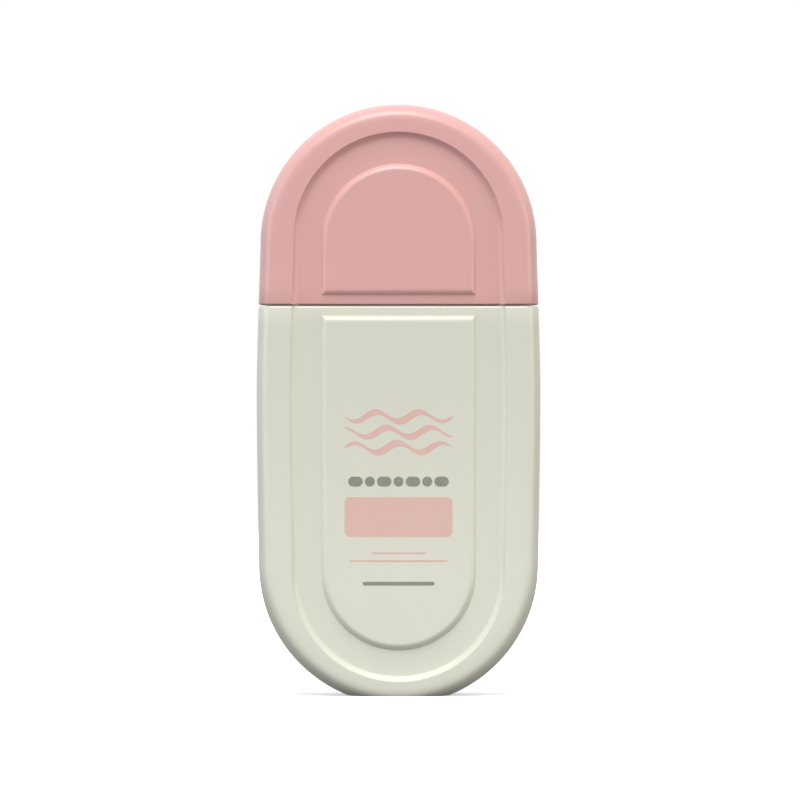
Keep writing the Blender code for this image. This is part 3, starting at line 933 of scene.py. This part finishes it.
def bottle_cavity(sizes):
    """The space inside the bottle, one wall in from its outside."""
    wall, seam = sizes.bottle_wall, sizes.bottle_height - sizes.bottle_wall
    cavity = round_ended_shell(sizes, "bottle_cavity", wall, seam, -1, sizes.bottle_margin - wall)
    shape(cavity)
    cut_level(sizes.floor_thickness, 1, fill=True)
    pick_rim(seam)
    inner = sizes.guide_inset + wall
    rows = [(seam, wall), (seam, inner), (shoulder_level(sizes) - wall, inner)]
    draw_rim_in(rows, seam_reach(sizes, seam))
    bpy.ops.mesh.edge_face_add()
    close_up()
    return cavity


class BOTTLE_OT_bottle(bpy.types.Operator):
    """Blow-moulded bottle with its relief, shoulder, threaded neck, cavity and push-up foot."""

    bl_idname = "bottle.make_bottle"
    bl_label = "Bottle"

    def execute(self, context):
        scene = context.scene
        sizes, closure = scene.bottle_sizes, scene.closure_sizes
        body = bottle_solid(sizes)
        neck, bore = neck_radius(), bore_radius(closure)
        shoulder, foot = shoulder_level(sizes), shoulder_level(sizes) - sizes.bottle_wall / 2
        combine(body, turn(sizes, "neck", [
            (0, foot, 0), (neck + closure.neck_fillet, foot, 0), (neck + closure.neck_fillet, shoulder, 0),
            (neck, shoulder, closure.neck_fillet), (neck, LAND_LEVEL, sizes.cap_lip), (0, LAND_LEVEL, 0),
        ]), "UNION")
        combine(body, thread_ridge(
            sizes, closure, "neck_thread", neck - closure.thread_embed, neck + closure.thread_depth,
            NECK_TURNS, thread_low(closure),
        ), "UNION")
        combine(body, bottle_cavity(sizes), "DIFFERENCE")
        inner_shoulder = shoulder - sizes.bottle_wall
        combine(body, turn(sizes, "neck_bore", [
            (0, inner_shoulder - sizes.overrun, 0), (bore, inner_shoulder - sizes.overrun, 0),
            (bore, LAND_LEVEL + sizes.overrun, 0), (0, LAND_LEVEL + sizes.overrun, 0),
        ]), "DIFFERENCE")
        recess, depth = sizes.recess_radius, sizes.recess_depth
        combine(body, turn(sizes, "foot_recess", [
            (0, -sizes.overrun, 0), (recess, -sizes.overrun, 0), (recess, 0, 0),
            (recess - depth, depth, depth / 2), (0, depth, 0),
        ]), "DIFFERENCE")
        plastic = satin_plastic("ivory_plastic", scene.finish_colours.ivory)
        present(body, "bottle", "ivory_bottle", plastic, "bottle_shell")
        return {"FINISHED"}


class BOTTLE_OT_gasket(bpy.types.Operator):
    """Foam ring on the neck's land."""

    bl_idname = "bottle.make_gasket"
    bl_label = "Gasket"

    def execute(self, context):
        scene = context.scene
        inner, outer = bore_radius(scene.closure_sizes), neck_radius()
        low, high = GASKET_LOW.z, GASKET_HIGH.z
        edge = (high - low) * GASKET_EDGE_SHARE
        ring = turn(scene.bottle_sizes, "seal_ring", [
            (inner, low, edge), (outer, low, edge), (outer, high, edge), (inner, high, edge),
        ], ring=True)
        foam = foam_finish("gasket_foam", scene.finish_colours.foam)
        present(ring, "seal", "foam_gasket", foam, "neck_gasket")
        return {"FINISHED"}


class BOTTLE_OT_collar(bpy.types.Operator):
    """Screwed collar with grip ribs outside and a thread inside."""

    bl_idname = "bottle.make_collar"
    bl_label = "Collar"

    def execute(self, context):
        scene = context.scene
        sizes, closure = scene.bottle_sizes, scene.closure_sizes
        foot, head, outer = COLLAR_LOW.z, COLLAR_HIGH.z, COLLAR_HIGH.x
        points = len(RIB_SHARES)
        steps = closure.rib_count * points
        activate(None)
        bpy.ops.mesh.primitive_cylinder_add(
            vertices=steps, radius=outer, depth=head - foot,
            location=(0, 0, (foot + head) / 2), rotation=(0, 0, -math.pi / 2),
        )
        collar = name_new("closure_collar")
        shape(collar)
        cut_level(head - closure.collar_chamfer)
        cut_level(head - closure.rib_head)
        rib_top = head - closure.rib_head - closure.rib_depth
        cut_level(rib_top)
        pick("VERT", lambda v: abs(v.co.z - head) < WELD)
        rounded_in = (outer - closure.collar_chamfer) / outer
        move(scale=(rounded_in, rounded_in, 1))
        step_at = lambda v: round(math.atan2(v.co.y, v.co.x) / math.tau * steps) % points
        on_side = lambda v: v.co.z < rib_top + WELD and v.co.xy.length > outer / 2
        for step, share in enumerate(RIB_SHARES):
            if share > 0:
                pick("VERT", lambda v: on_side(v) and step_at(v) == step)
                reach = 1 - closure.rib_depth * share / outer
                move(scale=(reach, reach, 1))
        bpy.ops.object.mode_set(mode="OBJECT")
        inner, ceiling = outer - closure.collar_wall, head - closure.collar_top
        hole = plug_radius(sizes, closure) + sizes.fit_gap
        combine(collar, turn(sizes, "collar_bore", [
            (0, foot - sizes.overrun, 0), (inner, foot - sizes.overrun, 0), (inner, ceiling, sizes.cap_lip),
            (hole, ceiling, 0), (hole, head + sizes.overrun, 0), (0, head + sizes.overrun, 0),
        ]), "DIFFERENCE")
        ridge_drop = (closure.thread_width + closure.thread_crest) / 2 + sizes.fit_gap
        combine(collar, thread_ridge(
            sizes, closure, "collar_thread", inner + closure.thread_embed, inner - closure.thread_depth,
            COLLAR_TURNS, thread_low(closure) - ridge_drop,
        ), "UNION")
        present(collar, "closure", "white_insert", white_plastic(scene), "nozzle_collar")
        return {"FINISHED"}


class BOTTLE_OT_spout(bpy.types.Operator):
    """Soft spout with its plug, flange and narrow mouth."""

    bl_idname = "bottle.make_spout"
    bl_label = "Spout"

    def execute(self, context):
        scene = context.scene
        sizes, closure = scene.bottle_sizes, scene.closure_sizes
        plug, flange = plug_radius(sizes, closure), SPOUT_HIGH.x
        bore, mouth, tip = plug - closure.plug_wall, closure.orifice_radius, SPOUT_HIGH.z
        foot, low = SPOUT_LOW.z, SPOUT_LOW.z + closure.plug_length
        high, fine = low + closure.flange, sizes.cap_lip / 2
        soft_edge, waist_bend, tip_round = 2 * fine, 6 * fine, 3 * fine
        spout = turn(sizes, "closure_spout", [
            (bore, foot, 0), (plug, foot, soft_edge), (plug, low, 0),
            (flange, low, fine), (flange, high, fine), (plug, high, soft_edge),
            (plug, high + closure.stem, waist_bend), (mouth + closure.tip_wall, tip, tip_round),
            (mouth, tip, fine), (mouth, tip - closure.orifice_length, 0), (bore, high, soft_edge),
        ], ring=True)
        soft = satin_plastic("spout_plastic", scene.finish_colours.spout)
        present(spout, "closure", "soft_spout", soft, "nozzle_spout")
        return {"FINISHED"}


class BOTTLE_OT_cap(bpy.types.Operator):
    """Round-ended cap with its relief outside and a smooth wall inside."""

    bl_idname = "bottle.make_cap"
    bl_label = "Cap"

    def execute(self, context):
        sizes = context.scene.bottle_sizes
        seam, walls = CAP_EDGE + sizes.cap_lip, []
        for name, inset_by, margin, radius in (
            ("cap_dome", 0, sizes.cap_margin, sizes.cap_lip),
            ("cap_inside", sizes.cap_wall, None, -sizes.cap_lip),
        ):
            wall = round_ended_shell(sizes, name, inset_by, seam, 1, margin)
            shape(wall)
            pick_rim(seam)
            draw_rim_in(lip(CAP_EDGE, -1, radius, inset_by), seam_reach(sizes, seam))
            walls.append(wall)
        cap = join(walls)
        shape(cap)
        pick("EDGE", lambda edge: edge.is_boundary)
        bpy.ops.mesh.fill()
        close_up()
        plastic = satin_plastic("pink_plastic", context.scene.finish_colours.pink)
        present(cap, "cap", "pink_cap", plastic, "cap_shell")
        return {"FINISHED"}


class BOTTLE_OT_liner(bpy.types.Operator):
    """White insert in the cap: a rimmed plate, a cup over the spout and two webs."""

    bl_idname = "bottle.make_liner"
    bl_label = "Liner"

    def execute(self, context):
        scene = context.scene
        sizes, closure = scene.bottle_sizes, scene.closure_sizes
        plate = CAP_EDGE + closure.plate_lift
        plate_head = plate + closure.plate_thickness
        rim_head = plate_head + closure.plate_rim
        inset_by = sizes.cap_wall + sizes.fit_gap
        liner = round_ended_shell(sizes, "cap_insert", inset_by)
        pocket = round_ended_shell(sizes, "liner_pocket", inset_by + closure.rim_wall)
        for slab, low, high in ((liner, plate, rim_head), (pocket, plate_head, rim_head + sizes.overrun)):
            shape(slab)
            cut_level(low, 1, fill=True)
            cut_level(high, -1, fill=True)
            close_up()
        combine(liner, pocket, "DIFFERENCE")
        cup, foot, head, rounding = cup_outer(sizes), LINER_LOW.z, LINER_HIGH.z, sizes.cap_lip
        combine(liner, turn(sizes, "liner_cup", [
            (0, foot, 0), (cup, foot, 0), (cup, head, rounding), (0, head, 0),
        ]), "UNION")
        thickness, near = closure.fin_thickness, cup - closure.cup_wall / 2
        far = shoulder_half_width(sizes) - sizes.edge_run - sizes.rim_flat - closure.fin_margin
        for side in (1, -1):
            web = draw_chain("liner_web", [
                (side * near, plate_head - thickness / 2), (side * far, plate_head - thickness / 2),
                (side * far, plate_head + closure.fin_foot), (side * near, plate_head + closure.fin_height),
            ])
            bpy.ops.mesh.edge_face_add()
            extrude(y=thickness)
            pick_all()
            move(shift=(0, -thickness / 2, 0))
            close_up()
            combine(liner, web, "UNION")
        inner, ceiling = cup - closure.cup_wall, head - closure.cup_top
        ring = STOPPER_HIGH.x + sizes.fit_gap
        ring_foot = STOPPER_HIGH.z - closure.stopper_disc
        combine(liner, turn(sizes, "liner_bore", [
            (0, foot - sizes.overrun, 0), (inner, foot - sizes.overrun, 0), (inner, ceiling, rounding),
            (ring + closure.stopper_wall, ceiling, 0), (ring + closure.stopper_wall, ring_foot, 0),
            (ring, ring_foot, 0), (ring, ceiling, 0), (0, ceiling, 0),
        ]), "DIFFERENCE")
        present(liner, "cap", "white_insert", white_plastic(scene), "cap_liner")
        return {"FINISHED"}


class BOTTLE_OT_stopper(bpy.types.Operator):
    """Soft stopper whose pin closes the spout's mouth."""

    bl_idname = "bottle.make_stopper"
    bl_label = "Stopper"

    def execute(self, context):
        scene = context.scene
        sizes, closure = scene.bottle_sizes, scene.closure_sizes
        pin, disc = closure.orifice_radius - sizes.fit_gap, STOPPER_HIGH.x
        foot, head, fine = STOPPER_LOW.z, STOPPER_HIGH.z, sizes.cap_lip / 2
        level = head - closure.stopper_disc
        stopper = turn(sizes, "orifice_stopper", [
            (0, foot, 0), (pin / 2, foot, fine), (pin, foot + pin / 2, fine), (pin, level, 0),
            (disc, level, fine), (disc, head, fine), (0, head, 0),
        ])
        soft = satin_plastic("stopper_rubber", scene.finish_colours.stopper)
        present(stopper, "cap", "soft_stopper", soft, "spout_stopper")
        return {"FINISHED"}


class BOTTLE_OT_print(bpy.types.Operator):
    """Plain screen-printed decoration: waves, a band, small marks and rules."""

    bl_idname = "bottle.make_print"
    bl_label = "Print"

    def execute(self, context):
        scene = context.scene
        sizes, design, colours = scene.bottle_sizes, scene.print_sizes, scene.finish_colours
        depth, ink = panel_depth(sizes), design.ink
        pink = ink_finish("pink_ink", colours.pink_ink, colours.ivory, PINK_COVER)
        grey = ink_finish("grey_ink", colours.grey_ink, colours.ivory, GREY_COVER)
        waves = []
        for row in range(design.waves):
            half, middle = design.wave_half_width, design.wave_low + row * design.wave_gap
            columns = []
            for share in shares(WAVE_STEPS):
                angle = math.tau * WAVE_SWINGS * share + row * WAVE_PHASE
                taper = lerp(WAVE_TIP_SHARE, 1, math.sqrt(max(math.sin(math.pi * share), 0)))
                width = taper * design.wave_width * (1 + WAVE_SWELL_SHARE * math.cos(angle))
                level = middle + design.wave_reach * math.sin(angle)
                columns.append((lerp(-half, half, share), level, width))
            waves.append(stroke(f"print_waves_{row}", columns, ink, depth))
        band_height = design.band_high - design.band_low
        band = stroke("print_band", pill(
            0, design.band_low + band_height / 2, design.band_half_width, band_height, design.band_corner
        ), ink, depth)
        marks = []
        for index in range(design.marks):
            x = lerp(-design.mark_half_width, design.mark_half_width, index / (design.marks - 1))
            high = design.mark_height
            half = high / 2 * (1 if index % 2 else LONG_MARK_SHARE)
            columns = pill(x, design.mark_level, half, high, high / 2 - WELD)
            marks.append(stroke(f"print_marks_{index}", columns, ink, depth))
        bars = []
        for level, half, width in (
            (design.rule_level, design.rule_half_width * UPPER_RULE_SHARE, design.rule_width),
            (design.rule_level - design.rule_gap, design.rule_half_width, design.rule_width),
            (design.foot_bar_level, design.foot_bar_half_width, design.foot_bar_height),
        ):
            columns = pill(0, level, half, width, width / 2 - WELD)
            bars.append(stroke(f"print_bars_{len(bars)}", columns, ink, depth))
        for pieces, name, slot, finish in (
            (waves, "print_waves", "pink_print", pink), ([band], "print_band", "pink_print", pink),
            (marks, "print_marks", "grey_print", grey), (bars[:2], "print_rules", "pink_print", pink),
            (bars[2:], "print_bar", "grey_print", grey),
        ):
            piece = join(pieces)
            piece.name = piece.data.name = name
            present(piece, "bottle", slot, finish)
        return {"FINISHED"}


def make_floor(studio):
    """A pale floor that looks white to the camera, and keeps the shadow where the bottle stands."""
    activate(None)
    bpy.ops.mesh.primitive_plane_add(size=studio.floor_size)
    move(shift=(0, 0, -FLOOR_GAP))
    floor = name_new("studio_floor")
    finish = Finish("studio_floor")
    seen = finish.node("ShaderNodeLightPath", output="Is Camera Ray")
    shine = finish.node("ShaderNodeLightPath", output="Is Glossy Ray")
    # The glow grows to full white away from the bottle, where the lamps reach less
    away = finish.node("ShaderNodeVectorMath", {"operation": "LENGTH"}, {0: finish.place}, output="Value")
    glow = seen.maths("MINIMUM", away + studio.floor_glow, 1.0)
    finish.paint(
        Base_Color=finish.tint(seen, (studio.floor_tone,) * 3, (FLOOR_SEEN_TONE,) * 3),
        Roughness=FLOOR_ROUGHNESS, Specular_IOR_Level=0.0,
        Emission_Color=(1, 1, 1, 1), Emission_Strength=seen * glow + shine * FLOOR_SHINE,
    )
    floor.data.materials.append(finish.material)


def make_world(ambient):
    """An even light all round that the camera, gloss and clear plastic see as white."""
    world = bpy.data.worlds.new("studio_world")
    bpy.context.scene.world = world
    world.use_nodes = True
    tree = world.node_tree
    paths = tree.nodes.new("ShaderNodeLightPath")
    seen = paths.outputs["Is Camera Ray"]
    for ray in ("Is Glossy Ray", "Is Transmission Ray"):
        either = tree.nodes.new("ShaderNodeMath")
        either.operation = "MAXIMUM"
        tree.links.new(seen, either.inputs[0])
        tree.links.new(paths.outputs[ray], either.inputs[1])
        seen = either.outputs[0]
    strength = tree.nodes.new("ShaderNodeMapRange")
    strength.inputs["To Min"].default_value = ambient
    strength.inputs["To Max"].default_value = 1.0
    tree.links.new(seen, strength.inputs["Value"])
    background = tree.nodes["Background"]
    background.inputs["Color"].default_value = (1, 1, 1, 1)
    tree.links.new(strength.outputs[0], background.inputs["Strength"])


def add_soft_light(name, place, aim, width, height, power, tone=(1, 1, 1)):
    """A soft box at a place that looks at a point."""
    activate(None)
    bpy.ops.object.light_add(type="AREA", location=place)
    light = bpy.context.object
    light.name = light.data.name = name
    light.rotation_euler = (Vector(aim) - Vector(place)).to_track_quat("-Z", "Y").to_euler()
    light.data.shape = "RECTANGLE"
    light.data.size, light.data.size_y, light.data.energy = width, height, power
    light.data.color = tone
    light.visible_camera = False
    return light


class BOTTLE_OT_stage(bpy.types.Operator):
    """Camera, soft light, bright surroundings and floor."""

    bl_idname = "bottle.make_stage"
    bl_label = "Studio"

    def execute(self, context):
        scene = context.scene
        studio = scene.studio_settings
        activate(None)
        bpy.ops.object.camera_add(
            location=(studio.camera_side, -studio.camera_distance, studio.camera_level),
            rotation=(math.pi / 2, 0, 0),
        )
        scene.camera = context.object
        scene.camera.name = "studio_camera"
        scene.camera.data.lens = studio.lens
        scene.camera.data.clip_start = CLIP_START
        middle, side_width = (0, 0, HEIGHT / 2), studio.side_width
        add_soft_light(
            "key_light", studio.key_place, middle, studio.key_width, studio.key_depth, studio.key_power
        )
        add_soft_light(
            "low_light", studio.fill_place, (0, 0, studio.fill_place[2]),
            studio.fill_width, studio.fill_height, studio.fill_power,
        )
        back_light = add_soft_light(
            "back_light", studio.back_place, middle, studio.back_width, studio.back_height, studio.back_power
        )
        back_light.visible_glossy = False
        for name, side, tone in (
            ("left_light", -1, studio.left_tone), ("right_light", 1, studio.right_tone)
        ):
            place = (side * studio.side_reach, -side_width / 2, HEIGHT)
            add_soft_light(name, place, middle, side_width, side_width, studio.side_power, tone)
        make_world(studio.ambient)
        make_floor(studio)
        scene.view_settings.view_transform = "Standard"
        return {"FINISHED"}


OPERATORS = (
    BOTTLE_OT_stage, BOTTLE_OT_bottle, BOTTLE_OT_gasket, BOTTLE_OT_collar, BOTTLE_OT_spout, BOTTLE_OT_cap,
    BOTTLE_OT_liner, BOTTLE_OT_stopper, BOTTLE_OT_print,
)


class BOTTLE_PT_panel(bpy.types.Panel):
    """Sizes, colours and steps of the sunscreen bottle."""

    bl_idname = "BOTTLE_PT_panel"
    bl_label = "Sunscreen bottle"
    bl_space_type = "VIEW_3D"
    bl_region_type = "UI"
    bl_category = "Bottle"

    def draw(self, context):
        column = self.layout.column(align=True)
        for operator in OPERATORS:
            column.operator(operator.bl_idname)
        for group in PROPERTY_GROUPS:
            settings = getattr(context.scene, group)
            column.separator()
            for key in settings.bl_rna.properties.keys():
                if key not in ("rna_type", "name"):
                    column.prop(settings, key)


PROPERTY_GROUPS = {
    "bottle_sizes": BottleSizes,
    "closure_sizes": ClosureSizes,
    "print_sizes": PrintSizes,
    "finish_colours": FinishColours,
    "studio_settings": StudioSettings,
}


def register():
    for name, group in PROPERTY_GROUPS.items():
        bpy.utils.register_class(group)
        setattr(bpy.types.Scene, name, PointerProperty(type=group))
    for kind in (*OPERATORS, BOTTLE_PT_panel):
        bpy.utils.register_class(kind)


def unregister():
    for kind in (BOTTLE_PT_panel, *reversed(OPERATORS)):
        bpy.utils.unregister_class(kind)
    for name, group in PROPERTY_GROUPS.items():
        delattr(bpy.types.Scene, name)
        bpy.utils.unregister_class(group)


def clear_startup_objects():
    """Remove what a new Blender file holds, and keep the frame."""
    keep = [*frame["nodes"].values(), *frame["bodies"].values()]
    for item in list(bpy.data.objects):
        if item not in keep:
            bpy.data.objects.remove(item, do_unlink=True)


def main():
    clear_startup_objects()
    register()
    for operator in OPERATORS:
        area, name = operator.bl_idname.split(".")
        getattr(getattr(bpy.ops, area), name)()


if __name__ == "__main__":
    main()
